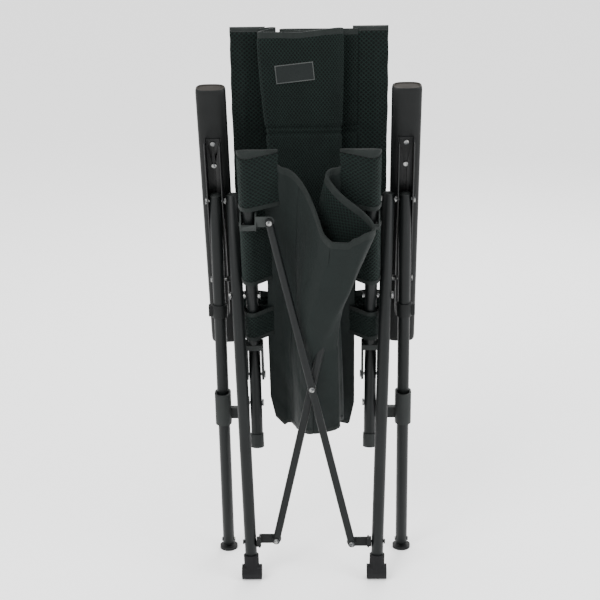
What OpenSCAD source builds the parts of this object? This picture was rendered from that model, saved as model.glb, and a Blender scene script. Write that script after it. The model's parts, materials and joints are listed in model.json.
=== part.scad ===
// Folding camp chair, standing half folded. +Z is up and the front faces -Y.
// Each side is a planar linkage in its own layers of X. A crossed pair of bars in front
// holds the sides apart. Right-hand pieces are drawn, and left-hand ones are their mirrors.

/* [Tubes] */
// Outer diameter of every frame tube
tube_d = 22; // [20:1:24]
// Inner diameter of every frame tube
tube_bore = 19; // [16:0.5:19]
// Diameter of the pivot bolts
bolt_d = 6; // [5:0.5:6]
// Extra diameter of a hole that turns on its bolt
bolt_play = 0.6; // [0.4:0.1:0.8]

/* [Side linkage] */
// Top bolt to the rolling centre of the front foot
front_leg_len = 697; // [690:1:705]
// Top bolt to the swivel rivet of the rear foot
rear_leg_len = 688; // [686:0.5:690]
// Lean of the front legs from upright, in degrees
front_lean = 7.2; // [7.2:0.1:8]
// Inward lean of the front legs, in degrees
front_splay = 1.8; // [1:0.1:2]
// Outward lean of the back uprights, in degrees
back_flare = 0.8; // [0:0.1:1]
// Top bolt to the seat bolt, along the front leg
seat_bolt_drop = 172; // [170:1:174]
// Top bolt to the slider pin, along the rear leg
slider_drop = 395; // [393:0.5:396]
// Backward lean of the back uprights, in degrees
back_lean = 6.6; // [6.4:0.1:6.8]
// Slider pin to the seat hinge, along the upright
seat_hinge_rise = 55; // [54:1:56]
// Slider pin to the armrest hinge, along the upright
arm_hinge_rise = 236; // [235:1:237]
// Length of the upright above the slider pin
upright_top = 683; // [650:1:690]
// Length of the upright below the slider pin
upright_tail = 80; // [70:1:84]
// Length of the seat rail in front of the seat bolt
rail_front = 283; // [270:1:286]
// Seat bolt to the brace bracket, along the seat rail
brace_top_reach = 165; // [160:1:168]
// Top bolt to the lower brace bracket, along the front leg
brace_low_drop = 638; // [630:1:640]

/* [Layers across the chair] */
// Middle of the armrest and of the rear leg
outer_x = 168; // [166:0.5:170]
// Middle of the front leg at its top bolt
front_x = 138; // [137:0.5:139]
// Middle of the seat rail
rail_x = 106.8; // [106:0.1:107]
// Middle of the back upright at the slider pin
upright_x = 106.5; // [106:0.1:106.6]
// Half the distance between the end rivets of the brace bars
brace_x = 70; // [68:0.5:72]

/* [Armrest] */
// Length of the armrest pad in front of the top bolt
pad_front = 205; // [195:1:215]
// Length of the armrest pad behind the top bolt
pad_rear = 325; // [315:1:330]
// Width of the armrest pad
pad_w = 52; // [50:1:54]
// Thickness of the armrest pad
pad_t = 28; // [26:1:30]
// Length of the channel in front of the top bolt
channel_front = 114; // [110:1:130]
// Length of the channel behind the top bolt
channel_rear = 240; // [230:1:245]

/* [Fabric] */
// Thickness of the seat cloth
cloth_t = 4; // [3:0.5:5]
// Thickness of the padded back
pad_back_t = 6; // [5:0.5:7]
// Outer diameter of the sleeves round the tubes
sleeve_d = 28; // [27:0.5:28]
// Height above the slider pin where the back cloth starts
back_hem_low = 135; // [132:1:150]
// Height above the slider pin where the back cloth ends
back_hem_top = 689; // [660:1:700]

/* [Hidden] */
$fn = 48;

// Paint colours
tube_paint = [0.10, 0.11, 0.11];
plastic_black = [0.07, 0.07, 0.07];
plastic_grey = [0.28, 0.29, 0.28];
steel = [0.45, 0.46, 0.46];
mesh_black = [0.05, 0.06, 0.06];
cloth_green = [0.13, 0.15, 0.14];

// Small working sizes
tube_r = tube_d / 2;
bore_r = tube_bore / 2;
eps = 0.01;
gap = 0.3;
foot_r = 14;
foot_w = 37;
foot_pivot_z = 18;
disc_d = 34;
disc_t = 6;
end_over = 9;
head_d = 13;
head_t = 3.5;
channel_in = 24;
channel_out = 28;
channel_back = 18;
channel_lip = 10;
sheet_t = 2;
fork_near = 61;
fork_far = 72;
fork_gap = 25.2;
fork_out = 33.2;
bar_w = 14;
bar_t = 9;
ear_t = 3;
bar_off = ear_t / 2 + 0.4 + bar_t / 2;
ear_forward = 12;
ear_drop = 7;
small_rivet_d = 5;
// Shift along Y that centres the chair on its origin
centre_y = 6.3;

// Pivots of the side linkage as [forward, up]
function down_forward(a) = [sin(a), -cos(a)];
function up_back(a) = [-sin(a), cos(a)];
top_bolt = [0, foot_r + front_leg_len * cos(front_lean) * cos(front_splay)];
rear_lean = acos((top_bolt[1] - foot_pivot_z) / rear_leg_len);
seat_bolt = top_bolt + seat_bolt_drop * down_forward(front_lean);
brace_low = top_bolt + brace_low_drop * down_forward(front_lean);
slider_pin = top_bolt - slider_drop * [sin(rear_lean), cos(rear_lean)];
seat_hinge = slider_pin + seat_hinge_rise * up_back(back_lean);
arm_hinge = slider_pin + arm_hinge_rise * up_back(back_lean);
foot_pivot = top_bolt - rear_leg_len * [sin(rear_lean), cos(rear_lean)];
rail_run = seat_bolt - seat_hinge;
rail_len = norm(rail_run);
rail_rise = atan2(rail_run[1], rail_run[0]);
arm_run = top_bolt - arm_hinge;
arm_len = norm(arm_run);
arm_rise = atan2(arm_run[1], arm_run[0]);
brace_top = seat_bolt + brace_top_reach * [cos(rail_rise), sin(rail_rise)];
bar_top = brace_top + [ear_forward, -ear_drop];
bar_low = brace_low;
bar_rise = bar_top - bar_low;
brace_tilt = atan2(bar_rise[0], bar_rise[1]);
brace_h = norm(bar_rise);
bar_len = norm([brace_h, 2 * brace_x]);
bar_angle = atan2(2 * brace_x, brace_h);

// Places children at a [forward, up] point
module at(p, x = 0) translate([x, centre_y - p[0], p[1]]) children();
// Frames whose +Z runs up each link and whose +Y is its back or upper face
module rear_leg_frame() at(top_bolt) rotate([rear_lean, 0, 0]) children();
module front_leg_frame() at(top_bolt, front_x)
  rotate([-front_lean, 0, 0]) rotate([0, front_splay, 0]) children();
module rail_frame() at(seat_bolt) rotate([90 - rail_rise, 0, 0]) children();
module arm_frame() at(top_bolt, outer_x) rotate([90 - arm_rise, 0, 0]) children();
module upright_frame() at(slider_pin) rotate([-back_lean, 0, 0]) children();
module upright_tube_frame() upright_frame()
  translate([upright_x, 0, 0]) rotate([0, back_flare, 0]) children();
module brace_frame() at(bar_low) rotate([brace_tilt, 0, 0]) children();
module left() mirror([1, 0, 0]) children();

// A cylinder along X from x0 to x1
module rod(d, x0, x1) translate([x0, 0, 0]) rotate([0, 90, 0]) cylinder(d = d, h = x1 - x0);
// A cylinder along Y from y0 to y1
module rod_y(d, y0, y1) translate([0, y0, 0]) rotate([-90, 0, 0]) cylinder(d = d, h = y1 - y0);
// A hollow tube from z0 to z1
module tube(z0, z1, d = tube_d, inner = tube_bore) {
  difference() {
    translate([0, 0, z0]) cylinder(d = d, h = z1 - z0);
    translate([0, 0, z0 - 1]) cylinder(d = inner, h = z1 - z0 + 2);
  }
}
// A box from two corners
module box(a, b) translate(a) cube(b - a);
// A tube's domed end plug, with its rim at z0
module end_plug(z0) {
  stem = 14;
  dome = 4.5;
  union() {
    translate([0, 0, z0 - stem]) cylinder(d = tube_bore, h = stem + eps);
    translate([0, 0, z0]) cylinder(d = tube_d, h = 1);
    translate([0, 0, z0 + 1]) cylinder(d1 = tube_d, d2 = tube_d - 9, h = dome - 1);
  }
}

// ---- Rear foot, leg and what is fixed to the leg

module rear_foot() color(plastic_black) at([foot_pivot[0], 0], outer_x) {
  tongue_w = 8;
  difference() {
    union() {
      cylinder(d = disc_d, h = disc_t);
      box([-tongue_w / 2, -4, disc_t - 1], [tongue_w / 2, 4, foot_pivot_z]);
      translate([0, 0, foot_pivot_z]) rod(12, -tongue_w / 2, tongue_w / 2);
    }
    translate([0, 0, foot_pivot_z]) rod(small_rivet_d + bolt_play, -tongue_w, tongue_w);
  }
}

module rear_leg() color(tube_paint) rear_leg_frame() translate([outer_x, 0, 0]) {
  difference() {
    tube(-rear_leg_len - 8, end_over);
    rod(bolt_d, -tube_d, tube_d);
    translate([0, 0, -rear_leg_len]) rod(small_rivet_d, -tube_d, tube_d);
  }
}

module rear_plug() color(plastic_grey) rear_leg_frame() translate([outer_x, 0, 0]) {
  difference() {
    end_plug(end_over);
    rod(bolt_d, -tube_d, tube_d);
  }
}

module foot_rivet() color(steel) rear_leg_frame() translate([outer_x, 0, -rear_leg_len]) {
  rod(small_rivet_d, -tube_r - eps, tube_r + eps);
  rod(8, tube_r, tube_r + 2);
  rod(8, -tube_r - 2, -tube_r);
}

module stop_collar() color(plastic_black) rear_leg_frame() translate([outer_x, 0, 0]) {
  collar_top = -196;
  collar_low = -221;
  tube(collar_low, collar_top, 29, tube_d);
  difference() {
    box([13, -6, collar_low + 2], [20, 6, collar_top - 2]);
    translate([0, 0, collar_low]) cylinder(d = 28, h = 30);
  }
}

module top_bolt_set() color(steel) at(top_bolt) {
  channel_face = outer_x + channel_out / 2;
  nut_x = front_x - tube_r - 1;
  rod(bolt_d, nut_x - 5, channel_face + gap);
  rod(head_d, channel_face + gap, channel_face + gap + head_t);
  rod(11, nut_x - 5, nut_x);
  difference() {
    rod(12, front_x + tube_r + 0.6, outer_x - channel_out / 2 - gap);
    rod(bolt_d, front_x, outer_x);
  }
}

// ---- Front leg and what is fixed to it

module front_leg() color(tube_paint) difference() {
  front_leg_frame() tube(-front_leg_len + 6, end_over);
  at(top_bolt) rod(bolt_d + bolt_play, 100, 160);
  at(seat_bolt) rod(bolt_d, 100, 160);
  at(brace_low) rod(small_rivet_d + bolt_play, 90, 150);
}

module front_plug() color(plastic_grey) difference() {
  front_leg_frame() end_plug(end_over);
  at(top_bolt) rod(bolt_d + bolt_play, 100, 160);
}

module front_foot() color(plastic_black) front_leg_frame() translate([0, 0, -front_leg_len]) {
  difference() {
    union() {
      cylinder(r = foot_r, h = 34);
      rotate([0, -front_splay, 0]) rod(2 * foot_r, -foot_w / 2, foot_w / 2);
    }
    translate([0, 0, 6]) cylinder(d = tube_d, h = 40);
  }
}

module seat_bolt_set() color(steel) at(seat_bolt) {
  leg_x = front_x - seat_bolt_drop * sin(front_splay);
  leg_out = leg_x + tube_r + 0.4;
  leg_in = leg_x - tube_r - 0.4;
  rail_out = rail_x + tube_r + gap;
  rail_in = rail_x - tube_r - gap;
  rod(bolt_d, rail_in - 4, leg_out);
  rod(head_d, leg_out, leg_out + head_t);
  rod(11, rail_in - 4, rail_in);
  difference() {
    rod(12, rail_out, leg_in);
    rod(bolt_d, rail_out - 1, leg_in + 1);
  }
}

// ---- Armrest

screw_places = [105, 62, -120];

module arm_channel() color(steel) difference() {
  arm_frame() difference() {
    box([-channel_out / 2, -channel_lip, -channel_rear], [channel_out / 2, channel_back, channel_front]);
    box([-channel_in / 2, -channel_lip - 1, -channel_rear - 1],
        [channel_in / 2, channel_back - sheet_t, channel_front + 1]);
    for (u = screw_places) translate([0, 0, u]) rod_y(4, 0, channel_back + 1);
  }
  at(top_bolt) rod(bolt_d + bolt_play, 140, 200);
  at(arm_hinge) rod(bolt_d + bolt_play, 140, 200);
}

module pad_section() {
  r = 12;
  square([pad_w - 2 * r, pad_t], center = true);
  square([pad_w, pad_t - 2 * r], center = true);
  for (i = [-1, 1], j = [-1, 1]) translate([i * (pad_w / 2 - r), j * (pad_t / 2 - r)]) circle(r = r);
}

module arm_pad() color(plastic_black) arm_frame() difference() {
  translate([0, channel_back + pad_t / 2, -pad_rear]) linear_extrude(pad_rear + pad_front) pad_section();
  for (u = screw_places) translate([0, 0, u]) rod_y(4, channel_back - 1, channel_back + 12);
}

module arm_screws() color(steel) arm_frame() for (u = screw_places) translate([0, 0, u]) {
  web = channel_back - sheet_t;
  rod_y(4, web - eps, channel_back + 12);
  rod_y(8.5, web - 2, web);
}

// ---- Seat rail and upper brace bracket

module seat_rail() color(tube_paint) difference() {
  rail_frame() translate([rail_x, 0, 0]) tube(fork_far - rail_len, rail_front);
  at(seat_bolt) rod(bolt_d + bolt_play, 80, 130);
  at(brace_top) rod(small_rivet_d + bolt_play, 80, 130);
}

module rail_fork() color(plastic_grey) difference() {
  rail_frame() translate([rail_x, 0, -rail_len]) {
    translate([0, 0, fork_far - eps]) cylinder(d = tube_bore, h = 22);
    box([-fork_out / 2, -tube_r, fork_near], [fork_out / 2, tube_r, fork_far]);
    for (s = [-1, 1]) {
      inner = s * fork_gap / 2;
      outer = s * fork_out / 2;
      box([min(inner, outer), -tube_r, 0], [max(inner, outer), tube_r, fork_near + eps]);
      rod(tube_d, min(inner, outer), max(inner, outer));
    }
  }
  at(seat_hinge) rod(12, 80, 130);
}

module upper_bracket() color(plastic_grey) at(brace_top) {
  cheek_in = 11.8;
  cheek_out = 14.2;
  bridge_turn = 49.5;
  web_x = rail_x - cheek_out;
  for (s = [-1, 1]) {
    near = rail_x + s * cheek_in;
    far = rail_x + s * cheek_out;
    rod(26, min(near, far), max(near, far));
    rotate([bridge_turn, 0, 0]) box([min(near, far), -26, -6.5], [max(near, far), -8, 6.5]);
  }
  rotate([bridge_turn, 0, 0]) box([rail_x - 13, -25.5, -6], [rail_x + 13, -20, 6]);
  rod(small_rivet_d, rail_x - cheek_in - 1, rail_x + cheek_in + 1);
  translate([0, -ear_forward, -ear_drop]) rotate([brace_tilt, 0, 0]) difference() {
    union() {
      box([brace_x, -ear_t / 2, -9], [web_x + 1, ear_t / 2, 9]);
      translate([brace_x, 0, 0]) rod_y(18, -ear_t / 2, ear_t / 2);
      box([web_x + 0.4, -ear_t / 2 + 0.2, -8], [web_x + 2, ear_forward - 4, 8]);
    }
    translate([brace_x, 0, 0]) rod_y(small_rivet_d + bolt_play, -5, 5);
  }
}

// The ear stands at y = ear_y, in front of one bar end or behind the other
module lower_bracket(ear_y) color(plastic_black) at(brace_low) {
  leg_x = front_x - brace_low_drop * sin(front_splay);
  face = leg_x - tube_r - 0.6;
  out = leg_x + tube_r + 0.5;
  rod(19.4, face - 8, face);
  rod(small_rivet_d, face - 1, out);
  rod(9, out, out + 2.5);
  rotate([brace_tilt, 0, 0]) difference() {
    union() {
      box([brace_x, ear_y - ear_t / 2, -9], [face - 6.4, ear_y + ear_t / 2, 9]);
      translate([brace_x, 0, 0]) rod_y(18, ear_y - ear_t / 2, ear_y + ear_t / 2);
      box([face - 7.2, -8.5, -8.5], [face - 4, max(8.5, ear_y + ear_t / 2 - 0.2), 8.5]);
    }
    translate([brace_x, 0, 0]) rod_y(small_rivet_d + bolt_play, ear_y - 5, ear_y + 5);
  }
}

// ---- Back upright and slider

module back_upright() color(tube_paint) difference() {
  upright_tube_frame() tube(-upright_tail, upright_top);
  at(slider_pin) rod(bolt_d, 80, 140);
  at(seat_hinge) rod(bolt_d, 80, 140);
  at(arm_hinge) rod(bolt_d, 80, 140);
}

module end_block() color(plastic_grey) upright_tube_frame() difference() {
  translate([0, 0, -upright_tail - 6]) cylinder(d = 25, h = 26);
  translate([0, 0, -upright_tail]) cylinder(d = tube_d, h = 30);
}

module upright_pins() color(steel) {
  flare = sin(back_flare);
  hinge_x = upright_x + seat_hinge_rise * flare;
  arm_x = upright_x + arm_hinge_rise * flare;
  lug_out = upright_x + tube_r + 9.9;
  at(slider_pin) rod(bolt_d, upright_x - tube_r - 0.5, lug_out + gap);
  at(slider_pin) rod(head_d, lug_out + gap, lug_out + gap + head_t);
  at(slider_pin) rod(head_d, upright_x - tube_r - 3.5, upright_x - tube_r - 0.3);
  at(seat_hinge) rod(bolt_d, rail_x - fork_out / 2 - 1, rail_x + fork_out / 2 + 1);
  at(seat_hinge) rod(14, rail_x + fork_out / 2 + 0.4, rail_x + fork_out / 2 + 2.6);
  at(seat_hinge) rod(14, rail_x - fork_out / 2 - 2.6, rail_x - fork_out / 2 - 0.4);
  at(arm_hinge) rod(bolt_d, arm_x - tube_r - 1, outer_x + channel_out / 2 + gap);
  at(arm_hinge) rod(11, outer_x + channel_out / 2 + gap, outer_x + channel_out / 2 + gap + 3);
  at(arm_hinge) rod(11, arm_x - tube_r - 3.5, arm_x - tube_r - 0.4);
  at(arm_hinge) difference() {
    rod(10, arm_x + tube_r + 0.4, outer_x - channel_out / 2 - gap);
    rod(bolt_d, arm_x, outer_x);
  }
}

module slider() color(plastic_grey) at(slider_pin) rotate([rear_lean, 0, 0]) {
  sleeve_low = -38;
  sleeve_top = 24;
  sleeve_r = 15;
  slot_r = tube_r + 0.4;
  slot_run = 8.5;
  lug_in = upright_x + tube_r + 1.9;
  lug_out = lug_in + 8;
  difference() {
    union() {
      for (y = [0, -slot_run]) translate([outer_x, y, sleeve_low])
        cylinder(r = sleeve_r, h = sleeve_top - sleeve_low);
      box([outer_x - sleeve_r, -slot_run, sleeve_low], [outer_x + sleeve_r, 0, sleeve_top]);
      box([lug_out - 4, -6, -30], [outer_x - sleeve_r + 4, 6, -9]);
      rod(24, lug_in, lug_out);
      box([lug_in, -6, -30], [lug_out, 6, 0]);
    }
    for (y = [0, -slot_run]) translate([outer_x, y, sleeve_low - 1]) cylinder(r = slot_r, h = 70);
    box([outer_x - slot_r, -slot_run, sleeve_low - 1], [outer_x + slot_r, 0, sleeve_top + 1]);
    rod(bolt_d + bolt_play, lug_in - 1, lug_out + 1);
  }
}

// ---- Front brace: two crossed bars

module brace_bar(from, to, side) {
  run = to - from;
  len = norm([run[0], run[2]]);
  slant = atan2(run[0], run[2]);
  translate([from[0], side * bar_off, from[2]]) rotate([0, slant, 0]) difference() {
    union() {
      linear_extrude(len) square([bar_w - bar_t, bar_t], center = true);
      for (i = [-1, 1]) translate([i * (bar_w - bar_t) / 2, 0, 0]) cylinder(d = bar_t, h = len);
      for (z = [0, len]) translate([0, 0, z]) rod_y(bar_w, -bar_t / 2, bar_t / 2);
    }
    for (z = [0, len]) translate([0, 0, z]) rod_y(small_rivet_d, -bar_t, bar_t);
    translate([0, 0, len / 2]) rod_y(small_rivet_d + (side < 0 ? 0 : bolt_play), -bar_t, bar_t);
  }
}

// Low ends at z = 0 and top ends at z = brace_h, in the brace frame
module front_brace_bar() color(tube_paint) brace_frame()
  brace_bar([brace_x, 0, 0], [-brace_x, 0, brace_h], -1);
module rear_brace_bar() color(tube_paint) brace_frame()
  brace_bar([-brace_x, 0, 0], [brace_x, 0, brace_h], 1);

module front_bar_rivets() color(steel) brace_frame() {
  outer = -bar_off - bar_t / 2;
  inner = -bar_off + bar_t / 2;
  translate([brace_x, 0, 0]) {
    rod_y(small_rivet_d, outer - eps, inner);
    rod_y(9.5, outer - 2, outer);
  }
  translate([-brace_x, 0, brace_h]) {
    rod_y(small_rivet_d, outer - eps, ear_t / 2 + 0.4);
    rod_y(9.5, outer - 2, outer);
    rod_y(9.5, ear_t / 2 + 0.4, ear_t / 2 + 2.4);
  }
}

module rear_bar_rivets() color(steel) brace_frame() {
  outer = bar_off + bar_t / 2;
  inner = bar_off - bar_t / 2;
  translate([-brace_x, 0, 0]) {
    rod_y(small_rivet_d, inner - eps, outer);
    rod_y(9.5, inner - 2, inner);
  }
  translate([brace_x, 0, brace_h]) {
    rod_y(small_rivet_d, inner, outer + eps);
    rod_y(9.5, outer, outer + 2);
  }
}

module brace_rivet() color(steel) brace_frame() translate([0, 0, brace_h / 2]) {
  face = bar_off + bar_t / 2;
  rod_y(small_rivet_d, -face - eps, face + 0.4);
  rod_y(9.5, -face - 2, -face);
  rod_y(9.5, face + 0.4, face + 2.4);
  difference() {
    rod_y(15, -bar_off + bar_t / 2, bar_off - bar_t / 2 - 0.4);
    rod_y(small_rivet_d, -bar_off, bar_off);
  }
}

// ---- Fabric, as plain closed solids

seat_low = -195;
seat_cuts = [[-90, -30], [30, 143], [187, rail_front]];
seat_face = tube_r - 1;

module seat_panel(inner_x) color(mesh_black) rail_frame() {
  for (c = seat_cuts) translate([rail_x, 0, 0]) {
    tube(c[0], c[1], sleeve_d, tube_d + 0.2);
    box([-18, tube_r + 0.2, c[0] + 0.5], [-4, seat_face + cloth_t - 0.2, c[1] - 0.5]);
  }
  box([inner_x, seat_face, seat_low], [rail_x - tube_r - 6.4, seat_face + cloth_t, rail_front]);
}

back_face = 6;
back_cuts = [[back_hem_low, 212], [260, upright_top - 1]];

module back_panel(inner_x) color(mesh_black) {
  upright_tube_frame() for (c = back_cuts) {
    tube(c[0], c[1], sleeve_d, tube_d + 0.2);
    box([-30, -tube_r - 2.4, c[0] + 0.5], [-4, -tube_r - 0.2, c[1] - 0.5]);
  }
  upright_frame() box([inner_x, -back_face - pad_back_t, back_hem_low],
                      [upright_x - tube_r - 3.4, -back_face, back_hem_top]);
}

module seat_fold() color(cloth_green) rail_frame() box([-17, -78, 10], [98, -72, 189]);
module back_fold() color(mesh_black) upright_frame() box([-83, -44, 225], [57, -34, back_hem_top]);
module label_patch() color(steel) upright_frame() box([-62, -45.2, 590], [12, -44, 632]);

module left_rear_foot() left() rear_foot();
module left_rear_leg() left() rear_leg();
module left_rear_plug() left() rear_plug();
module left_foot_rivet() left() foot_rivet();
module left_stop_collar() left() stop_collar();
module left_top_bolt() left() top_bolt_set();
module left_front_leg() left() front_leg();
module left_front_plug() left() front_plug();
module left_front_foot() left() front_foot();
module left_seat_bolt() left() seat_bolt_set();
module left_arm_channel() left() arm_channel();
module left_arm_pad() left() arm_pad();
module left_arm_screws() left() arm_screws();
module left_seat_rail() left() seat_rail();
module left_rail_fork() left() rail_fork();
module left_upper_bracket() left() upper_bracket();
module left_lower_bracket() left() lower_bracket(bar_off + bar_t / 2 + 0.4 + ear_t / 2);
module right_lower_bracket() lower_bracket(0);
module left_back_upright() left() back_upright();
module left_end_block() left() end_block();
module left_upright_pins() left() upright_pins();
module left_slider() left() slider();
module left_seat_panel() left() seat_panel(42);
module left_back_panel() left() back_panel(61);
module right_seat_panel() seat_panel(44);
module right_back_panel() back_panel(-58);

left_rear_foot();
left_rear_leg();
left_rear_plug();
left_foot_rivet();
left_stop_collar();
left_top_bolt();
left_front_leg();
left_front_plug();
left_front_foot();
left_seat_bolt();
left_arm_channel();
left_arm_pad();
left_arm_screws();
left_seat_rail();
left_rail_fork();
left_upper_bracket();
left_lower_bracket();
left_back_upright();
left_end_block();
left_upright_pins();
left_slider();
left_seat_panel();
left_back_panel();
rear_foot();  // right_rear_foot
rear_leg();  // right_rear_leg
rear_plug();  // right_rear_plug
foot_rivet();  // right_foot_rivet
stop_collar();  // right_stop_collar
top_bolt_set();  // right_top_bolt
front_leg();  // right_front_leg
front_plug();  // right_front_plug
front_foot();  // right_front_foot
seat_bolt_set();  // right_seat_bolt
arm_channel();  // right_arm_channel
arm_pad();  // right_arm_pad
arm_screws();  // right_arm_screws
seat_rail();  // right_seat_rail
rail_fork();  // right_rail_fork
upper_bracket();  // right_upper_bracket
right_lower_bracket();
back_upright();  // right_back_upright
end_block();  // right_end_block
upright_pins();  // right_upright_pins
slider();  // right_slider
right_seat_panel();
right_back_panel();
front_brace_bar();
rear_brace_bar();
front_bar_rivets();
rear_bar_rivets();
brace_rivet();
seat_fold();
back_fold();
label_patch();
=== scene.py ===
"""Looks of the folding camp chair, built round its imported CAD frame.

Cloth is laid out in millimetres on the plane it has when the chair is open, then carried to its
folded place.
"""
import json
import math

import bmesh
import bpy
from mathutils import Matrix, Vector, noise


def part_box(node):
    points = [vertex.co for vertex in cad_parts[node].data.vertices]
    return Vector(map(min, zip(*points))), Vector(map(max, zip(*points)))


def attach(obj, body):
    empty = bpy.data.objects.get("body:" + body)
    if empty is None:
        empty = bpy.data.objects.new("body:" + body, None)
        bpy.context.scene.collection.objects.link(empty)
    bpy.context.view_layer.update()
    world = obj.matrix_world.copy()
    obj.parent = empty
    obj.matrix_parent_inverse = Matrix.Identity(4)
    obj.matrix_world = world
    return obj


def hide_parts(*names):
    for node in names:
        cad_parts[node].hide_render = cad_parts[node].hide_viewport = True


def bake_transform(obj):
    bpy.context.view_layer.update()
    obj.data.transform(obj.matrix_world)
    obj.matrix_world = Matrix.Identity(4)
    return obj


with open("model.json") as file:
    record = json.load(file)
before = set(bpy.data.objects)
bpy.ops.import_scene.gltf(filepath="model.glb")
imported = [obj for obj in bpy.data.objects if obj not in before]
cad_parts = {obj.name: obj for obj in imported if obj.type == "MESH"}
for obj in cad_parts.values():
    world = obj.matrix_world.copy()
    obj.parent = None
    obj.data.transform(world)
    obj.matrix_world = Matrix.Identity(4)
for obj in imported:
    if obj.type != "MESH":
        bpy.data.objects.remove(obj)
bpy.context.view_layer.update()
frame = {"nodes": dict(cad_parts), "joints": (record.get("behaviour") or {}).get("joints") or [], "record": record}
joints = {joint["name"]: joint for joint in frame["joints"]}
nodes = frame["nodes"]
MM = 0.001
MERGE_DISTANCE = 0.00002


# ---------------------------------------------------------------- camera, floor and light

def make_camera():
    camera = bpy.data.objects.new("camera", bpy.data.cameras.new("camera"))
    bpy.context.scene.collection.objects.link(camera)
    camera.data.lens = 82.5
    camera.data.sensor_width = 36
    camera.location = (0.037, -2.361, 1.297)
    turn = Matrix.Rotation(math.radians(1.4), 3, "Z")
    pitch = Matrix.Rotation(math.radians(71.8), 3, "X")
    roll = Matrix.Rotation(math.radians(-0.9), 3, "Z")
    camera.rotation_euler = (turn @ pitch @ roll).to_euler()
    bpy.context.scene.camera = camera


def make_light(name, place, target, size, watts, colour=(1, 1, 1)):
    light = bpy.data.lights.new(name, "AREA")
    light.size = size
    light.energy = watts
    light.color = colour
    lamp = bpy.data.objects.new(name, light)
    bpy.context.scene.collection.objects.link(lamp)
    lamp.location = place
    lamp.rotation_euler = (Vector(target) - Vector(place)).to_track_quat("-Z", "Y").to_euler()


def make_stage():
    mesh = bpy.data.meshes.new("floor")
    reach = 30
    corners = [(-reach, -reach, 0), (reach, -reach, 0), (reach, reach, 0), (-reach, reach, 0)]
    mesh.from_pydata(corners, [], [(0, 1, 2, 3)])
    floor = bpy.data.objects.new("floor", mesh)
    bpy.context.scene.collection.objects.link(floor)
    material = bpy.data.materials.new("floor_paper")
    material.use_nodes = True
    shader = material.node_tree.nodes["Principled BSDF"]
    shader.inputs["Base Color"].default_value = (0.96, 0.96, 0.96, 1)
    shader.inputs["Roughness"].default_value = 0.9
    mesh.materials.append(material)
    world = bpy.data.worlds.new("studio")
    world.use_nodes = True
    world.node_tree.nodes["Background"].inputs["Color"].default_value = (1.0, 1.0, 1.0, 1)
    world.node_tree.nodes["Background"].inputs["Strength"].default_value = 2.0
    bpy.context.scene.world = world
    make_light("key", (-1.6, -2.2, 2.6), (0, 0, 0.55), 1.6, 95)
    make_light("fill", (2.2, -1.2, 1.6), (0, 0, 0.6), 1.4, 38, (0.94, 0.98, 1.0))
    make_light("back", (0.6, 2.2, 2.2), (0, 0, 0.7), 1.4, 45)


# ---------------------------------------------------------------- materials

class Shader:
    """A material under construction, with short calls for the nodes that it uses."""

    def __init__(self, name, colour, roughness, **constants):
        self.material = bpy.data.materials.new(name)
        self.material.use_nodes = True
        self.tree = self.material.node_tree
        self.bsdf = self.tree.nodes["Principled BSDF"]
        self.bsdf.inputs["Base Color"].default_value = (*colour, 1)
        self.bsdf.inputs["Roughness"].default_value = roughness
        for key, value in constants.items():
            self.bsdf.inputs[key.replace("_", " ")].default_value = value

    def node(self, kind, **values):
        made = self.tree.nodes.new(kind)
        for key, value in values.items():
            if key in made.inputs:
                made.inputs[key].default_value = value
            else:
                setattr(made, key, value)
        return made

    def link(self, source, target):
        self.tree.links.new(source, target)

    def place(self, kind):
        """Object or UV coordinates, in metres."""
        return self.node("ShaderNodeTexCoord").outputs[kind]

    def math(self, operation, a, b=None, clamp=False):
        made = self.node("ShaderNodeMath", operation=operation, use_clamp=clamp)
        for socket, value in zip(made.inputs, (a, b)):
            if value is None:
                continue
            if isinstance(value, (int, float)):
                socket.default_value = value
            else:
                self.link(value, socket)
        return made.outputs[0]

    def noise(self, where, scale, detail=3.0, rough=0.55):
        made = self.node("ShaderNodeTexNoise", Scale=scale, Detail=detail, Roughness=rough)
        self.link(where, made.inputs["Vector"])
        return made.outputs["Fac"]

    def ramp(self, value, low, high, colour_low, colour_high):
        made = self.node("ShaderNodeValToRGB")
        made.color_ramp.elements[0].position = low
        made.color_ramp.elements[1].position = high
        made.color_ramp.elements[0].color = (*colour_low, 1)
        made.color_ramp.elements[1].color = (*colour_high, 1)
        self.link(value, made.inputs["Fac"])
        return made.outputs["Color"]

    def scaled(self, value, low, high):
        """A 0 to 1 value stretched to low to high."""
        return self.math("ADD", self.math("MULTIPLY", value, high - low), low)

    def mix(self, share, first, second):
        made = self.node("ShaderNodeMix", data_type="RGBA")
        self.link(share, made.inputs["Factor"])
        self.link(first, made.inputs[6])
        self.link(second, made.inputs[7])
        return made.outputs[2]

    def bump(self, height, strength, distance, under=None):
        made = self.node("ShaderNodeBump", Strength=strength, Distance=distance)
        self.link(height, made.inputs["Height"])
        if under is not None:
            self.link(under, made.inputs["Normal"])
        return made.outputs["Normal"]

    def colour(self, value):
        self.link(value, self.bsdf.inputs["Base Color"])

    def roughness(self, value):
        self.link(value, self.bsdf.inputs["Roughness"])

    def normal(self, value):
        self.link(value, self.bsdf.inputs["Normal"])


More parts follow.
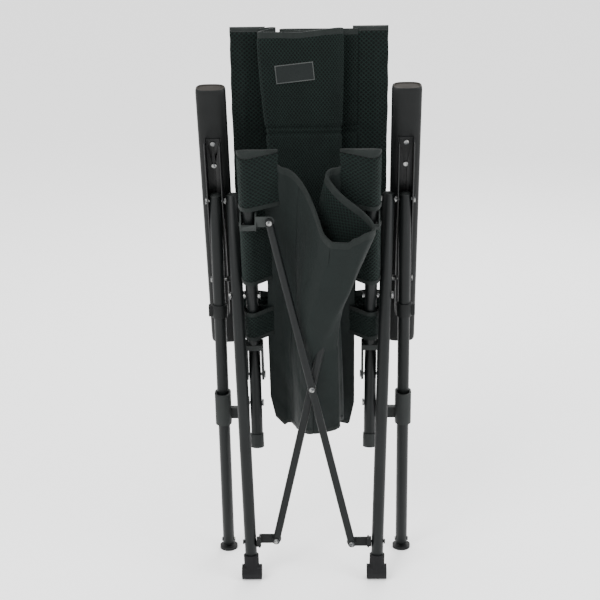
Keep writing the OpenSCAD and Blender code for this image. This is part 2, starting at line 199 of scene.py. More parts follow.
def paint(name, dark, light, rough_low, rough_high, grain, lit_worn_edge_colour=None):
    """Powder-coated steel: fine orange peel, soft cloudy tone, faint scuffs and, when an edge colour is given,
    pale edges that are partly wear and partly a painted highlight where light catches them.
    """
    s = Shader(name, dark, rough_low, Specular_IOR_Level=0.17)
    where = s.place("Object")
    cloud = s.noise(where, 9, 4)
    tone = s.ramp(cloud, 0.3, 0.7, dark, light)
    stretched = s.node("ShaderNodeMapping", Scale=(260, 260, 14))
    s.link(where, stretched.inputs["Vector"])
    scuff = s.ramp(s.noise(stretched.outputs["Vector"], 1, 2), 0.66, 0.74, (0, 0, 0), (1, 1, 1))
    worn = s.node("ShaderNodeRGB")
    worn.outputs[0].default_value = (*[2.2 * c for c in light], 1)
    faint = s.math("MULTIPLY", scuff, 0.35)
    tone = s.mix(faint, tone, worn.outputs[0])
    # Pale edges: partly worn bare metal, partly a painted highlight of the light catching the edges
    if lit_worn_edge_colour:
        geometry = s.node("ShaderNodeNewGeometry")
        edge = s.ramp(geometry.outputs["Pointiness"], 0.53, 0.6, (0, 0, 0), (1, 1, 1))
        lit_worn_edge = s.node("ShaderNodeRGB")
        lit_worn_edge.outputs[0].default_value = (*lit_worn_edge_colour, 1)
        tone = s.mix(edge, tone, lit_worn_edge.outputs[0])
    s.colour(tone)
    s.roughness(s.scaled(s.noise(where, 40, 3), rough_low, rough_high))
    s.normal(s.bump(s.noise(where, grain, 2), 0.12, 0.0004))
    return s.material


def plastic(name, dark, light, rough_low, rough_high, grain=1400, depth=0.25):
    """Moulded nylon: spark-eroded grain, slight flow marks and paler handled edges."""
    s = Shader(name, dark, rough_low, Specular_IOR_Level=0.15)
    where = s.place("Object")
    flow = s.noise(where, 22, 4)
    tone = s.ramp(flow, 0.3, 0.72, dark, light)
    geometry = s.node("ShaderNodeNewGeometry")
    edge = s.ramp(geometry.outputs["Pointiness"], 0.52, 0.62, (0, 0, 0), (1, 1, 1))
    rub = s.node("ShaderNodeRGB")
    rub.outputs[0].default_value = (*[1.9 * c for c in light], 1)
    s.colour(s.mix(edge, tone, rub.outputs[0]))
    s.roughness(s.scaled(s.noise(where, 60, 2), rough_low, rough_high))
    s.normal(s.bump(s.noise(where, grain, 3), depth, 0.0003))
    return s.material


def steel(name):
    """Blackened fasteners with uncoated metal showing on their crowns."""
    s = Shader(name, (0.05, 0.05, 0.05), 0.35, Metallic=1.0)
    where = s.place("Object")
    tone = s.ramp(s.noise(where, 160, 4), 0.42, 0.66, (0.05, 0.052, 0.055), (0.33, 0.33, 0.32))
    s.colour(tone)
    s.roughness(s.scaled(s.noise(where, 300, 2), 0.25, 0.5))
    s.normal(s.bump(s.noise(where, 900, 2), 0.15, 0.0002))
    return s.material


def uv_axes(s):
    split = s.node("ShaderNodeSeparateXYZ")
    s.link(s.place("UV"), split.inputs[0])
    return split.outputs[0], split.outputs[1]


def wave(s, value, pitch):
    """A smooth 0 to 1 wave of that pitch, in metres."""
    turned = s.math("MULTIPLY", value, math.pi / pitch)
    return s.math("ABSOLUTE", s.math("SINE", turned))


def air_mesh(name, thread, hole, pitch_u, pitch_v):
    """Spacer mesh: rows of diamond holes between bright twisted yarns."""
    s = Shader(name, thread, 0.85, Specular_IOR_Level=0.1, Sheen_Weight=0.03, Sheen_Roughness=0.6)
    s.bsdf.inputs["Sheen Tint"].default_value = (0.55, 0.75, 0.7, 1)
    u, v = uv_axes(s)
    across = s.math("MULTIPLY", u, pitch_v / pitch_u)
    rising = wave(s, s.math("ADD", across, v), pitch_v)
    falling = wave(s, s.math("SUBTRACT", across, v), pitch_v)
    depth = s.math("MULTIPLY", rising, falling)
    yarn = wave(s, v, 0.0009)
    height = s.math("SUBTRACT", s.math("MULTIPLY", yarn, 0.12), depth)
    uneven = s.noise(s.place("UV"), 26, 3)
    lit = s.ramp(uneven, 0.3, 0.75, thread, [1.5 * c for c in thread])
    dark = s.node("ShaderNodeRGB")
    dark.outputs[0].default_value = (*hole, 1)
    inside = s.ramp(depth, 0.28, 0.6, (0, 0, 0), (1, 1, 1))
    s.colour(s.mix(inside, lit, dark.outputs[0]))
    s.normal(s.bump(height, 0.9, 0.0011))
    return s.material


def polyester(name, dark, light, pitch, crease):
    """Plain coated weave: fine crossing yarns, slubs, creases and a soft sheen."""
    s = Shader(name, dark, 0.68, Specular_IOR_Level=0.12, Sheen_Weight=0.02, Sheen_Roughness=0.5)
    u, v = uv_axes(s)
    warp = wave(s, u, pitch)
    weft = wave(s, v, pitch)
    yarns = s.math("MAXIMUM", warp, weft)
    uneven = s.noise(s.place("UV"), 18, 5)
    tone = s.ramp(uneven, 0.28, 0.75, dark, light)
    gap = s.ramp(yarns, 0.35, 0.8, [0.55 * c for c in dark], [1.0, 1.0, 1.0])
    shade = s.node("ShaderNodeMix", data_type="RGBA", blend_type="MULTIPLY")
    shade.inputs["Factor"].default_value = 0.5
    s.link(tone, shade.inputs[6])
    s.link(gap, shade.inputs[7])
    s.colour(shade.outputs[2])
    s.roughness(s.scaled(uneven, 0.58, 0.8))
    folds = s.bump(s.noise(s.place("UV"), 30, 4, 0.5), crease, 0.004)
    s.normal(s.bump(yarns, 0.5, 0.0003, folds))
    return s.material


def tape(name, dark, light):
    """Woven edge binding with ribs across it."""
    s = Shader(name, dark, 0.75, Specular_IOR_Level=0.15, Sheen_Weight=0.03)
    u, v = uv_axes(s)
    rib = wave(s, s.math("ADD", u, s.math("MULTIPLY", v, 0.3)), 0.0016)
    tone = s.ramp(s.noise(s.place("UV"), 60, 3), 0.3, 0.7, dark, light)
    s.colour(tone)
    s.normal(s.bump(rib, 0.6, 0.0004))
    return s.material


# How each material is made. The colours are dark and light, except for the mesh's thread and hole.
RECIPES = {
    "tube_paint": (paint, (0.0025, 0.00325, 0.00325), (0.0045, 0.0055, 0.0055), 0.34, 0.5, 1500),
    # The channel's third colour paints its edges pale: partly wear, partly a painted highlight
    "channel_paint": (paint, (0.003, 0.0035, 0.0035), (0.005, 0.0055, 0.0055), 0.34, 0.5, 1200,
                      (0.025, 0.025, 0.025)),
    "hardware": (steel,),
    "grey_plastic": (plastic, (0.007, 0.008, 0.008), (0.011, 0.0125, 0.012), 0.5, 0.65),
    "black_plastic": (plastic, (0.002, 0.0025, 0.0025), (0.0035, 0.004, 0.004), 0.45, 0.6),
    "pad_plastic": (plastic, (0.002, 0.0025, 0.0025), (0.0035, 0.004, 0.004), 0.42, 0.56, 700),
    # The pads' end caps are pale brown: a painted highlight on the pad ends
    "pad_end": (plastic, (0.015, 0.013, 0.011), (0.0225, 0.02, 0.017), 0.65, 0.8, 900, 0.4),
    "foot_rubber": (plastic, (0.003, 0.003, 0.0035), (0.006, 0.006, 0.0065), 0.65, 0.8, 800, 0.5),
    "foot_plastic": (plastic, (0.003, 0.003, 0.0035), (0.0055, 0.006, 0.006), 0.5, 0.65),
    "mesh_fabric": (air_mesh, (0.00225, 0.00525, 0.00425), (0.0003, 0.00045, 0.00045), 0.0062, 0.0075),
    "seat_cloth": (polyester, (0.003, 0.00525, 0.00475), (0.0055, 0.0085, 0.00775), 0.0011, 0.35),
    "binding": (tape, (0.004, 0.006, 0.0055), (0.0075, 0.01, 0.009)),
    "label_cloth": (polyester, (0.005, 0.007, 0.00675), (0.008, 0.0105, 0.01), 0.0008, 0.1),
    "label_edge": (tape, (0.025, 0.028, 0.027), (0.045, 0.048, 0.0465)),
}
MATERIALS = {name: maker(name, *values) for name, (maker, *values) in RECIPES.items()}


# ---------------------------------------------------------------- mesh building

class Builder:
    """Collects grids of points in millimetres, and makes one object of them."""

    def __init__(self, *materials):
        self.materials = materials
        self.points = []
        self.faces = []
        self.maps = []
        self.kinds = []

    def grid(self, rows, maps, kind, wrap=False, flip=False):
        """Faces over rows of points, with their places on the flat cloth in maps. wrap joins each
        row's end to its start, and kind is the name of the material."""
        base = len(self.points)
        width = len(rows[0])
        for row in rows:
            self.points.extend(row)
        for i in range(len(rows) - 1):
            for j in range(width if wrap else width - 1):
                k = (j + 1) % width
                face = [(i, j), (i, k), (i + 1, k), (i + 1, j)]
                if flip:
                    face.reverse()
                flat = [maps[a][b] for a, b in face]
                if wrap and k == 0:
                    beyond = {a: 2 * maps[a][-1][0] - maps[a][-2][0] for a in (i, i + 1)}
                    flat = [(beyond[a], maps[a][b][1]) if b == 0 else maps[a][b] for a, b in face]
                self.faces.append([base + a * width + b for a, b in face])
                self.maps.append(flat)
                self.kinds.append(kind)

    def fan(self, ring, kind, flip=False):
        """A cap over one ring of points, which meets in a point at their middle."""
        base = len(self.points)
        self.points.extend(ring)
        centre = sum((Vector(p) for p in ring), Vector()) / len(ring)
        self.points.append(centre)
        middle = base + len(ring)
        for j in range(len(ring)):
            face = [base + j, base + (j + 1) % len(ring), middle]
            if flip:
                face.reverse()
            self.faces.append(face)
            self.maps.append([tuple(Vector(self.points[i]).to_2d()) for i in face])
            self.kinds.append(kind)

    def make(self, name, smooth=40):
        """The finished object. Edges sharper than smooth, in degrees, stay sharp."""
        mesh = bpy.data.meshes.new(name)
        mesh.from_pydata([Vector(p) * MM for p in self.points], [], self.faces)
        names = list(self.materials)
        for material in names:
            mesh.materials.append(MATERIALS[material])
        layer = mesh.uv_layers.new(name="cloth")
        for polygon, flat, kind in zip(mesh.polygons, self.maps, self.kinds):
            polygon.material_index = names.index(kind)
            for loop, uv in zip(polygon.loop_indices, flat):
                layer.data[loop].uv = (uv[0] * MM, uv[1] * MM)
        made = bpy.data.objects.new(name, mesh)
        bpy.context.scene.collection.objects.link(made)
        merge(made)
        mesh.shade_smooth()
        mesh.set_sharp_from_angle(angle=math.radians(smooth))
        return made


def merge(obj):
    """Joins points that lie in the same place, so that shading runs over the joins."""
    work = bmesh.new()
    work.from_mesh(obj.data)
    bmesh.ops.remove_doubles(work, verts=work.verts, dist=MERGE_DISTANCE)
    bmesh.ops.recalc_face_normals(work, faces=work.faces)
    work.to_mesh(obj.data)
    work.free()


def spread(low, high, count):
    """count evenly spaced values from low to high."""
    return [low + (high - low) * i / (count - 1) for i in range(count)]


def clamp(value):
    return min(1.0, max(0.0, value))


def smoothstep(value, low=0.0, high=1.0):
    """Rises softly from 0 at low to 1 at high."""
    share = clamp((value - low) / (high - low))
    return share * share * (3 - 2 * share)


def hump(share):
    """Rises from 0 at a share of 0 to 1 half way, and falls back to 0 at a share of 1."""
    return math.sin(math.pi * clamp(share))


def along(value, knots):
    """Smooth interpolation through (place, value) knots."""
    if value <= knots[0][0]:
        return knots[0][1]
    for (a, low), (b, high) in zip(knots, knots[1:]):
        if value <= b:
            return low + (high - low) * smoothstep(value, a, b)
    return knots[-1][1]


def straight(value, knots):
    """Straight interpolation through (place, value) knots."""
    if value <= knots[0][0]:
        return knots[0][1]
    for (a, low), (b, high) in zip(knots, knots[1:]):
        if value <= b:
            return low + (high - low) * (value - a) / (b - a)
    return knots[-1][1]


def normals(rows):
    """Unit normals of a grid of points."""
    found = []
    for i, row in enumerate(rows):
        above = rows[min(i + 1, len(rows) - 1)]
        below = rows[max(i - 1, 0)]
        line = []
        for j in range(len(row)):
            right = row[min(j + 1, len(row) - 1)]
            left = row[max(j - 1, 0)]
            line.append((right - left).cross(above[j] - below[j]).normalized())
        found.append(line)
    return found


# The least that a front face's normal leans towards its axis, or away from it
LEAN = 0.3


def keep_order(normal, axis, depth):
    """The normal, tipped so that the front face is still in front once the fold is opened."""
    rise = normal.dot(axis)
    # Opening turns the faces round where smoothstep(depth) climbs faster than depth does
    climb = 6 * depth * (1 - depth)
    if climb > 1:
        wanted = min(rise, -LEAN)
    else:
        wanted = max(rise, LEAN)
    return normal + axis * (wanted - rise)


def cloth(builder, place, depth, axis, columns, rows, reach, thick, front, back):
    """A sheet with two faces. place(s, v) is its middle, depth(s, v) its depth in the fold, axis
    the way its front faces, reach(s) its lowest and highest v, and thick(s, v) its thickness.
    front and back name the faces' materials."""
    flat = [[(s, reach(s)[0] + (reach(s)[1] - reach(s)[0]) * share) for s in columns]
            for share in spread(0, 1, rows)]
    middle = [[place(s, v) for s, v in line] for line in flat]
    out = normals(middle)
    faces = []
    for sign in (-1, 1):
        faces.append([[p + keep_order(n, axis, depth(*at)) * (sign * thick(*at) / 2)
                       for p, n, at in zip(*lines)] for lines in zip(middle, out, flat)])
    lower, upper = faces
    builder.grid(upper, flat, front)
    builder.grid(lower, flat, back, flip=True)
    last = len(columns) - 1
    for index in (0, rows - 1):
        builder.grid([lower[index], upper[index]], [flat[index]] * 2, "binding")
    for index in (0, last):
        edge = [[face[i][index] for i in range(rows)] for face in (lower, upper)]
        builder.grid(edge, [[flat[i][index] for i in range(rows)]] * 2, "binding")
    return middle, out, flat


def binding(builder, edge, inward, out, run, width, thick, kind="binding"):
    """A tape folded over an edge. edge is the line of points, inward the direction into the
    cloth at each, out its normals, and run the distance along the tape at each."""
    bend = 1.2
    rounded = [(-math.sin(angle) * bend, math.cos(angle)) for angle in spread(0, math.pi, 10)]
    section = [(width, 1)] + rounded + [(width, -1)]
    rings, flat = [], []
    for point, into, normal, length in zip(edge, inward, out, run):
        rings.append([point + into * a + normal * (b * thick / 2) for a, b in section])
        flat.append([(length, 3.0 * i) for i in range(len(section))])
    builder.grid(rings, flat, kind, wrap=True)
    builder.fan(rings[0], kind)
    builder.fan(rings[-1], kind, flip=True)


def hem(builder, middle, out, flat, row, width, thick):
    """Binds the first or last row of a cloth made by cloth()."""
    step = 1 if row == 0 else -1
    line = middle[row]
    inward = [(middle[row + step][j] - line[j]).normalized() for j in range(len(line))]
    binding(builder, line, inward, out[row], [at[0] for at in flat[row]], width, thick)


# ---------------------------------------------------------------- frames of the moving parts

# A coupled slide's range ends this far past its real travel, in metres
RANGE_SLACK = 0.0001


def joint_point(name):
    """Where a hinge's axis is, in millimetres."""
    return Vector(joints[name]["pos_m"]) / MM


def travel(name):
    """How far a slide moves when the chair is opened, in millimetres."""
    joint = joints[name]
    reach = joint["range_m"][1] - RANGE_SLACK
    return Vector(joint["axis"]) * reach / MM


seat_bolt = joint_point("left_seat_rail_pivot")
brace_pin = joint_point("left_upper_bracket_pivot")
slider_pin = joint_point("left_slider_pivot")
arm_pin = joint_point("left_back_pivot")
top_bolt = joint_point("chair_fold")
RAIL_X = -brace_pin.x


def plane(start, end):
    """(along, across) unit vectors of the plane of X and the line from start to end."""
    run = Vector((0, end.y - start.y, end.z - start.z)).normalized()
    return run, Vector((0, run.z, -run.y))


rail_up, rail_back = plane(seat_bolt, brace_pin)
upright_up, upright_back = plane(slider_pin, arm_pin)
arm_run, arm_up = plane(arm_pin, top_bolt)


def on_rail(x, n, v):
    """A point by its x, its height n over the seat rails, and its place v along them."""
    return Vector((x, seat_bolt.y, seat_bolt.z)) + rail_back * n + rail_up * v


def on_upright(x, n, v):
    """A point by its x, its depth n behind the uprights, and its place v along them."""
    return Vector((x, slider_pin.y, slider_pin.z)) + upright_back * n + upright_up * v


seat_shift = travel("seat_fold_spread")
seat_fold_x = seat_shift.x
seat_fold_n = seat_shift.dot(rail_back)
seat_fold_v = seat_shift.dot(rail_up)
whole_spread = travel("right_legs_spread").x
back_fold_x = travel("back_fold_spread").x
back_fold_n = travel("back_fold_spread").dot(upright_back)


# ---------------------------------------------------------------- the seat

SEAT_WIDE = 2 * RAIL_X + whole_spread
SEAT_JOIN = 200
SEAT_BASE = 12.0
SEAT_EDGE = 29
SEAM_AT = 36

# Where the left wall of the fold starts and ends, and where the right wall does
FOLD_A = [(-260, 70), (0, 66), (283, 65)]
FOLD_B = [(16, 199), (45, 194), (107, 190), (165, 194), (283, 206)]
FOLD_C = [(16, 202), (45, 211), (107, 234), (165, 261), (253, 297)]
FOLD_D = [(-200, 452), (107, 440), (180, 446), (283, 461)]
SEAT_TOP = [(0, 283), (30, 278), (65, 251), (120, 249), (181, 252), (240, 251), (275, 259), (297, 268),
            (340, 262), (400, 252), (461, 250), (490, 270), (SEAT_WIDE, 283)]
SEAT_LOW = [(0, -206), (24, -212), (40, -284), (62, -304), (78, -296), (96, -286), (130, -240),
            (165, -186), (200, -164), (240, -166), (290, -186), (320, -208), (345, -226), (372, -262),
            (400, -282), (428, -304), (455, -298), (484, -304), (500, -216), (SEAT_WIDE, -206)]


def seat_reach(s):
    """Lowest and highest v of the seat cloth."""
    return straight(s, SEAT_LOW), along(s, SEAT_TOP)


def seat_depth(s, v):
    """Depth of the fold from 0 at the side panels to 1 at its front."""
    if s <= SEAT_JOIN:
        return clamp((s - along(v, FOLD_A)) / (along(v, FOLD_B) - along(v, FOLD_A)))
    return clamp((along(v, FOLD_D) - s) / (along(v, FOLD_D) - straight(v, FOLD_C)))


def seat_wrinkle(s, v):
    """Height of the soft folds, which die out towards the rails and hems."""
    low, high = seat_reach(s)
    calm = smoothstep(s, 20, 70) * smoothstep(SEAT_WIDE - s, 20, 70)
    calm *= smoothstep(high - v, 4, 70)
    pulled = noise.noise(Vector((s / 26 + v / 190, v / 120, 3.1)))
    slack = noise.noise(Vector((s / 55, v / 90, 7.7)))
    crease = abs(noise.noise(Vector((s / 38 + v / 70, v / 75, 11.3))))
    loose = smoothstep(-v, -160, 120)
    return calm * (2.2 * pulled + 4.0 * slack * loose + 3.5 * (0.35 - crease) * loose)


def seat_place(s, v):
    """Where the middle of the seat cloth is at rest."""
    depth = seat_depth(s, v)
    carried = smoothstep(depth)
    x = -RAIL_X + s - seat_fold_x * carried
    if s > SEAT_JOIN:
        x -= whole_spread * (1 - carried)
        low_down = smoothstep(-v, -130, 10)
        share = clamp((s - SEAT_JOIN) / (along(v, FOLD_D) - SEAT_JOIN))
        x += low_down * (34 * hump(share) ** 2 + 10 * math.sin(4 * math.pi * share))
    else:
        low_down = smoothstep(-v, -60, 120)
        x -= low_down * 16 * hump(s / SEAT_JOIN) ** 2
    bulge = 5 * hump((s - 165) / 150) * smoothstep(depth, 0.9, 1.0)
    # The top of the fold leans to the right
    x += 34 * smoothstep(v, 40, 250) * smoothstep(s, 65, 170) * smoothstep(290 - s, 0, 80)
    n = SEAT_BASE - seat_fold_n * depth - bulge * smoothstep(v, 0, 120) + seat_wrinkle(s, v)
    return on_rail(x, n, v - seat_fold_v * carried)


def seat_thick(s, v):
    """Thickness of the seat cloth, thinner at its hems and its side seams."""
    low, high = seat_reach(s)
    pad = smoothstep(min(high - v, v - low), 0, 16)
    seam = math.exp(-((min(s, SEAT_WIDE - s) - SEAM_AT) / 3.0) ** 2)
    return 2.2 + 1.6 * pad * (1 - 0.6 * seam)


def make_seat(side):
    builder = Builder("mesh_fabric", "seat_cloth", "binding")
    # +rail_back is the sitting side, which is mesh all over
    if side == "left":
        columns = spread(SEAT_EDGE, SEAT_JOIN, 62)
    else:
        columns = spread(SEAT_JOIN, SEAT_WIDE - SEAT_EDGE, 100)
    middle, out, flat = cloth(builder, seat_place, seat_depth, -rail_back, columns, 96, seat_reach,
                              seat_thick, "seat_cloth", "mesh_fabric")
    hem(builder, middle, out, flat, len(flat) - 1, 11, 4.6)
    hem(builder, middle, out, flat, 0, 9, 4.2)
    made = builder.make(f"seat_cloth_{side}")
    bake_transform(made)
    return made


# ---------------------------------------------------------------- sleeves

SLEEVE_POINTS = 56
SLEEVE_PITCH = 1.9


def sleeve_ring(circles, wall):
    """The outline round (inward, back, radius) circles, as evenly spaced points. wall is how far
    inside the outline to go."""
    hull = []
    for i in range(180):
        angle = 2 * math.pi * i / 180
        across = Vector((math.cos(angle), math.sin(angle)))
        reaches = [Vector((a, b)).dot(across) + r for a, b, r in circles]
        a, b, r = circles[reaches.index(max(reaches))]
        hull.append(Vector((a, b)) + across * (r - wall))
    hull.append(hull[0])
    lengths = [0.0]
    for first, second in zip(hull, hull[1:]):
        lengths.append(lengths[-1] + (second - first).length)
    knots = list(zip(lengths, hull))
    points = [straight(lengths[-1] * i / SLEEVE_POINTS, knots) for i in range(SLEEVE_POINTS)]
    return [(point.x, point.y) for point in points]


def sleeve_map(levels):
    """Places on the flat cloth of rings at those levels."""
    return [[(SLEEVE_PITCH * j, level) for j in range(SLEEVE_POINTS)] for level in levels]


def add_sleeve(builder, place, circles, low, high, seed, closed):
    """A flat pocket from low to high round a tube, with gathers, and tapes at its ends. closed
    shuts its top over the end of the tube."""
    levels = spread(low, high, max(8, int((high - low) / 5)))
    skins = []
    for wall in (0.0, 1.2):
        ring = sleeve_ring(circles, wall)
        rows = []
        for level in levels:
            calm = smoothstep(min(level - low, high - level), 0, 12)
            row = []
            for a, b in ring:
                ripple = noise.noise(Vector((a / 11, b / 11, level / 18 + seed)))
                ease = 1 + 0.045 * calm * ripple
                row.append(place(a * ease, b * ease, level))
            rows.append(row)
        skins.append(rows)
    outer, inner = skins
    flat = sleeve_map(levels)
    builder.grid(outer, flat, "mesh_fabric", wrap=True)
    builder.grid(inner, flat, "mesh_fabric", wrap=True, flip=True)
    builder.grid([outer[0], inner[0]], [flat[0]] * 2, "binding", wrap=True)
    ends = [(low, 1), (high, -1)]
    if closed:
        ends.pop()
        shut = []
        for rise, squeeze in ((0, 1.0), (3, 0.92), (6.5, 0.66), (9, 0.3)):
            shut.append([place(a, b * squeeze, high + rise) for a, b in sleeve_ring(circles, 0.0)])
        builder.grid(shut, sleeve_map((0.0, 4.0, 8.0, 12.0)), "binding", wrap=True)
        builder.fan(shut[-1], "binding")
    builder.grid([outer[-1], inner[-1]], [flat[-1]] * 2, "binding", wrap=True)
    for end, sign in ends:
        steps = ((0.0, 0.5), (0.0, 0.9), (8.0, 0.9), (8.0, 0.2))
        tape_rows = []
        for up, out in steps:
            level = end + sign * (up - 0.4)
            tape_rows.append([place(a, b, level) for a, b in sleeve_ring(circles, -out)])
        builder.grid(tape_rows, sleeve_map([up + out for up, out in steps]), "binding", wrap=True)


TUBE_SLEEVE_R = 13.9
# (low, high, whether its top is closed)
SEAT_SLEEVES = [(-90, -30, False), (30, 150, False), (181, 283, True)]
SEAT_POCKET = [(0, 0, TUBE_SLEEVE_R), (SEAM_AT, 11.0, 1.9), (-14.5, 6.0, 1.9)]
SEAT_TOP_POCKET = [(0, 0, TUBE_SLEEVE_R), (52, 11.5, 2.4), (-14.5, 6.0, 1.9)]
BACK_SLEEVES = [(135, 212, False), (260, 682, True)]
BACK_POCKET = [(0, 0, TUBE_SLEEVE_R), (SEAM_AT, 9.0, 2.4), (-23, 7.0, 2.2)]
FLARE = math.radians(0.8)
UPRIGHT_X = 106.5


def make_seat_sleeves(side, sign):
    builder = Builder("mesh_fabric", "binding")
    for index, (low, high, closed) in enumerate(SEAT_SLEEVES):
        pocket = SEAT_TOP_POCKET if closed else SEAT_POCKET
        add_sleeve(builder, lambda a, b, v: on_rail(sign * (RAIL_X - a), b, v), pocket,
                   low, high, index * 5.0, closed)
    made = builder.make(f"seat_sleeves_{side}")
    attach(made, f"{side}_seat_rail")
    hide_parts(f"{side}_seat_panel")


def upright_x(v):
    """Distance of an upright from the middle of the chair at rest."""
    return UPRIGHT_X + v * math.sin(FLARE)


def make_back_sleeves(side, sign):
    builder = Builder("mesh_fabric", "binding")
    for index, (low, high, closed) in enumerate(BACK_SLEEVES):
        add_sleeve(builder, lambda a, b, v: on_upright(sign * (upright_x(v) - a), -b, v),
                   BACK_POCKET, low, high, 20 + index * 5.0, closed)
    made = builder.make(f"back_sleeves_{side}")
    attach(made, f"{side}_back_upright")
    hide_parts(f"{side}_back_panel")


# ---------------------------------------------------------------- the back

BACK_JOIN = 60
BACK_BASE = -10.0
BACK_TOP = 689
BACK_LOW = 135
BACK_LOW_FOLD = 228
BACK_EDGE = 29
# Height of the ripples beside the uprights, which still count as lying at the uprights
BACK_SEAM = 510
BACK_LOW_SEAM = 330
BACK_DEPTH = [(-63, 0.0), (-3, 1.0), (104, 1.0), (128, 0.95), (150, 0.86), (166, 0.76), (182, 0.62),
              (225, 0.3), (268, 0.0)]


def back_depth(s, v):
    """Depth of the pleat from 0 at the side panels to 1 at its front, the same at every v."""
    return straight(s, BACK_DEPTH)


def back_reach(s):
    """Lowest and highest v of the back cloth."""
    top = along(s, [(-100, BACK_TOP - 4), (-60, BACK_TOP), (-3, BACK_TOP - 8), (60, BACK_TOP - 9),
                    (140, BACK_TOP - 2), (200, BACK_TOP - 6), (270, BACK_TOP - 3), (400, BACK_TOP - 4)])
    low = along(s, [(-84, BACK_LOW), (-64, BACK_LOW_FOLD), (262, BACK_LOW_FOLD), (330, BACK_LOW)])
    return low, top


def back_place(s, v):
    """Where the middle of the back cloth is at rest."""
    depth = back_depth(s, v)
    carried = smoothstep(depth)
    x = s - back_fold_x * carried
    if s > BACK_JOIN:
        x -= whole_spread * (1 - carried)
    flare = upright_x(v) - upright_x(400)
    x += flare * (smoothstep(s - whole_spread, 20, 80) - smoothstep(-s, 20, 80))
    lower = (BACK_TOP - v) / (BACK_TOP - BACK_LOW)
    narrowing = along(s, [(-60, 0.0), (0, 26.0), (50, 8.0), (110, -4.0), (166, -9.0), (230, 0.0)])
    x += narrowing * smoothstep(lower, 0.0, 0.6)
    front = smoothstep(depth, 0.8, 1.0)
    bulge = 5 * hump((s + 3) / 170) * front
    edge = min(abs(s + upright_x(v)), abs(s - whole_spread - upright_x(v)))
    soft = smoothstep(edge, 30, 60)
    ripple = soft * (2.0 * noise.noise(Vector((s / 45, v / 110, 31.0)))
                     + 0.8 * noise.noise(Vector((s / 20, v / 34, 37.0))))
    n = BACK_BASE - back_fold_n * depth - bulge + ripple
    return on_upright(x, n, v)


def back_thick(s, v):
    """Thickness of the padding, pulled in at its hems and along its quilting."""
    low, high = back_reach(s)
    pad = smoothstep(min(high - v, v - low), 0, 18)
    quilt = 0.0
    for level in (BACK_SEAM - 5, BACK_SEAM + 5, BACK_LOW_SEAM):
        quilt += math.exp(-((v - level) / 3.2) ** 2)
    return 2.4 + 6.6 * pad * (1 - min(0.92, 0.9 * quilt))


def make_back(side):
    builder = Builder("mesh_fabric", "binding")
    if side == "left":
        columns = spread(-upright_x(400) + BACK_EDGE, BACK_JOIN, 50)
    else:
        columns = spread(BACK_JOIN, whole_spread + upright_x(400) - BACK_EDGE, 96)
    middle, out, flat = cloth(builder, back_place, back_depth, -upright_back, columns, 190,
                              back_reach, back_thick, "mesh_fabric", "mesh_fabric")
    hem(builder, middle, out, flat, len(flat) - 1, 12, 6.0)
    hem(builder, middle, out, flat, 0, 10, 5.6)
    made = builder.make(f"back_cloth_{side}")
    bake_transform(made)
    return made


def make_label():
    """A plain woven patch with a stitched border, sewn to the front of the back's fold."""
    builder = Builder("label_cloth", "label_edge")
    wide, tall, tilt = 68, 32, math.radians(6)
    centre = (-25, 611)

    def spot(a, b, lift):
        x = centre[0] + a * math.cos(tilt) - b * math.sin(tilt)
        v = centre[1] + a * math.sin(tilt) + b * math.cos(tilt)
        n = BACK_BASE - back_fold_n - 3.9 - lift - 4.8 * math.sin(math.pi * (x + 83) / 170)
        return on_upright(x, n, v)

    across = spread(-wide / 2, wide / 2, 20)
    upward = spread(-tall / 2, tall / 2, 12)
    flat = [[(a, b) for a in across] for b in upward]
    raised = 1.4
    sunk = -1.0
    for lift, flip in ((raised, False), (sunk, True)):
        face = [[spot(a, b, lift) for a, b in line] for line in flat]
        builder.grid(face, flat, "label_cloth", flip=flip)
    outline = [(a, -tall / 2) for a in across] + [(wide / 2, b) for b in upward[1:]]
    outline += [(a, tall / 2) for a in reversed(across[:-1])]
    outline += [(-wide / 2, b) for b in upward[-2:0:-1]]
    wall = [[spot(a, b, lift) for a, b in outline] for lift in (sunk, raised)]
    run = [(2.0 * j, 0) for j in range(len(outline))]
    builder.grid(wall, [run, run], "label_edge", wrap=True)
    rows, maps = [], []
    for inset, lift in ((0.0, raised), (0.0, raised + 0.7), (0.9, raised + 0.9), (1.8, raised + 0.7),
                        (1.8, raised)):
        rows.append([spot(a * (1 - 2 * inset / wide), b * (1 - 2 * inset / tall), lift)
                     for a, b in outline])
        maps.append([(2.0 * j, inset * 2) for j in range(len(outline))])
    builder.grid(rows, maps, "label_edge", wrap=True)
    made = builder.make("back_label", smooth=50)
    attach(made, "back_fold")
    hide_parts("label_patch")


# ---------------------------------------------------------------- armrest pads

PAD_FRONT = 205
PAD_REAR = -325
PAD_WIDE = 52
PAD_TALL = 28
# The pad lies on the channel, whose web is this far over the line of its bolts
CHANNEL_WEB = 18
PAD_MIDDLE = CHANNEL_WEB + PAD_TALL / 2


def pad_ring(wide, tall):
    """A rounded rectangle of points, evenly spaced by angle."""
    power = 3.2
    count = 48
    ring = []
    for i in range(count):
        angle = 2 * math.pi * (i + 0.5) / count
        c, s = math.cos(angle), math.sin(angle)
        scale = (abs(c) ** power + abs(s) ** power) ** (-1 / power)
        ring.append((wide / 2 * c * scale, tall / 2 * s * scale))
    return ring


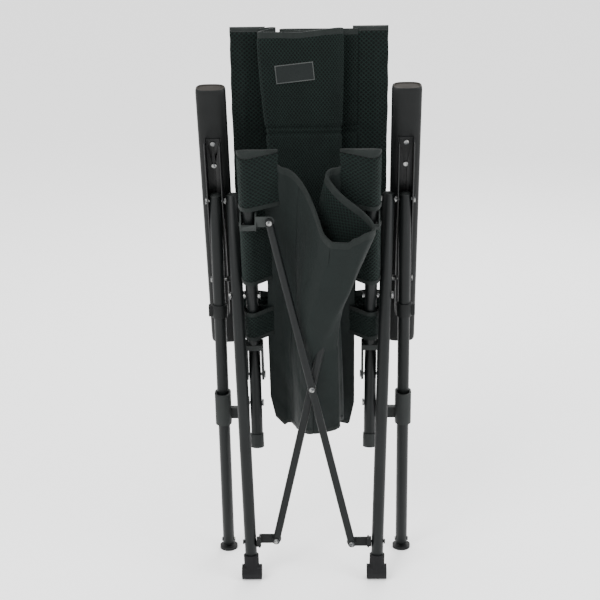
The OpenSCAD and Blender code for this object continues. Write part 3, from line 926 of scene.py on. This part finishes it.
def make_pad(side, sign):
    """An extruded armrest cover: crowned, rounded off at each end, with a lip and an end cap each end."""
    builder = Builder("pad_plastic", "pad_end")
    pad_low, pad_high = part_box(f"{side}_arm_pad")
    middle_x = sign * abs((pad_low.x + pad_high.x) / 2 / MM)

    def spot(a, b, u):
        base = Vector((middle_x + a, top_bolt.y, top_bolt.z))
        return base + arm_up * (PAD_MIDDLE + b) + arm_run * u

    rounding = [(0, 0.90), (1.2, 0.955), (3.5, 0.985), (8, 1.0)]
    stations = [(PAD_REAR + inset, size) for inset, size in rounding]
    stations += [(u, 1.0) for u in spread(PAD_REAR + 18, PAD_FRONT - 18, 40)]
    stations += [(PAD_FRONT - inset, size) for inset, size in reversed(rounding)]
    rows, maps = [], []
    for u, size in stations:
        row = []
        for a, b in pad_ring(PAD_WIDE * size, PAD_TALL * size):
            groove = 0.5 * math.exp(-((b + 6) / 0.9) ** 2)
            pull = 1 - groove / (PAD_WIDE / 2)
            row.append(spot(a * pull, b, u))
        rows.append(row)
        maps.append([(3.2 * j, u) for j in range(len(row))])
    builder.grid(rows, maps, "pad_plastic", wrap=True)
    # The end caps take the pale brown pad end colour, a painted highlight on the pad ends
    for end, out in ((0, -1), (-1, 1)):
        u, size = stations[end]
        caps = []
        for shrink, push in ((1.0, 0.0), (0.93, 0.0), (0.90, -1.6), (0.5, -1.2), (0.2, -1.0)):
            caps.append([spot(a, b, u + out * push)
                         for a, b in pad_ring(PAD_WIDE * size * shrink, PAD_TALL * size * shrink)])
        flat = [[(3.2 * j, 4.0 * i) for j in range(len(caps[0]))] for i in range(len(caps))]
        builder.grid(caps, flat, "pad_end", wrap=True)
        builder.fan(caps[-1], "pad_end")
    made = builder.make(f"arm_pad_{side}", smooth=35)
    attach(made, f"{side}_armrest")
    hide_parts(f"{side}_arm_pad")


# ---------------------------------------------------------------- CAD nodes that stay

def finish_nodes():
    """Gives each shown CAD node its material and softens its edges."""
    slots = {part["node"]: part["material_slot"] for part in frame["record"]["subparts"]}
    for name, obj in nodes.items():
        obj.data.materials.clear()
        obj.data.materials.append(MATERIALS[slots[name]])
        if obj.hide_render:
            continue
        weld = obj.modifiers.new("weld", "WELD")
        weld.merge_threshold = 0.00001
        bevel = obj.modifiers.new("bevel", "BEVEL")
        bevel.width = 0.0006
        bevel.segments = 2
        bevel.limit_method = "ANGLE"
        bevel.angle_limit = math.radians(38)
        bevel.harden_normals = False
        bevel.use_clamp_overlap = True


make_camera()
make_stage()
seat_left = make_seat("left")
make_seat("right")
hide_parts("seat_fold")
back_left = make_back("left")
make_back("right")
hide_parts("back_fold")
make_label()
for side, sign in (("left", -1), ("right", 1)):
    make_seat_sleeves(side, sign)
    make_back_sleeves(side, sign)
    make_pad(side, sign)
finish_nodes()
